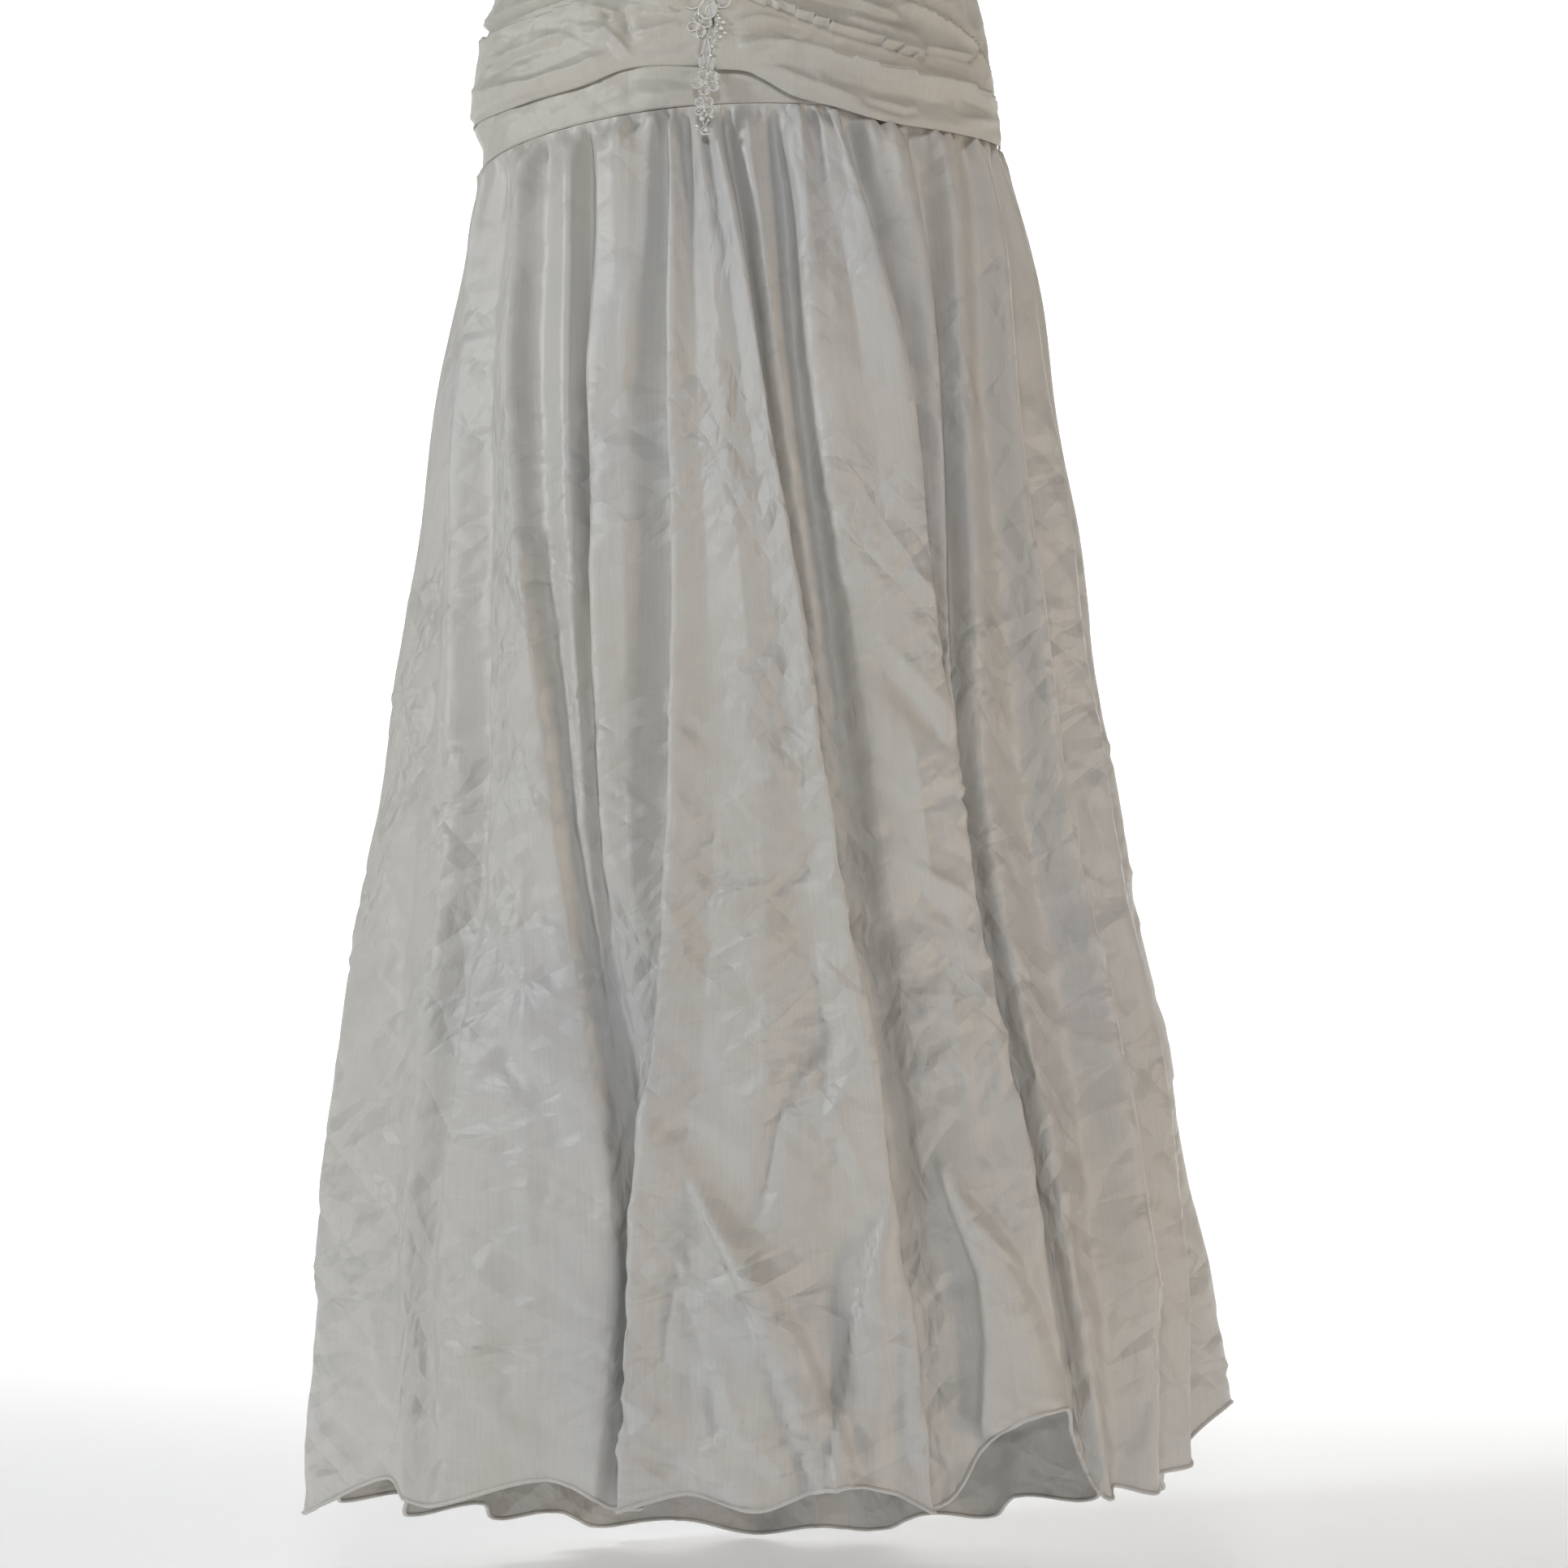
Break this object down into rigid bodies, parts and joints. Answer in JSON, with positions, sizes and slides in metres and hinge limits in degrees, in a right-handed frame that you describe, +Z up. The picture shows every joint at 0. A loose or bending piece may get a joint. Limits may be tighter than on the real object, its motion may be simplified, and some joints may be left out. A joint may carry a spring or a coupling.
{
  "type": "wedding dress",
  "caption": "Full-length strapless satin wedding dress with pleated drapes, a beaded lace applique and a gathered skirt with a short sweep, hollow and filled out.",
  "frame": {"origin": "middle of the natural waist, where the wearer's waist holds the dress", "axes": "+Z up, -Y the front, +X the wearer's left"},
  "size_m": [0.6413, 0.5105, 1.3849],
  "materials": {
    "satin": "ivory satin taffeta with a soft sheen and fine creases",
    "lace": "corded lace with beads",
    "tape": "woven zip tape"
  },
  "bodies": {
    "root": {"bodice_front": "satin", "bodice_back_left": "satin", "bodice_back_right": "satin", "drape_left": "satin", "drape_right": "satin", "skirt_front": "satin", "skirt_back_left": "satin", "skirt_back_right": "satin", "applique": "lace", "back_zip": "tape"}
  },
  "joints": []
}
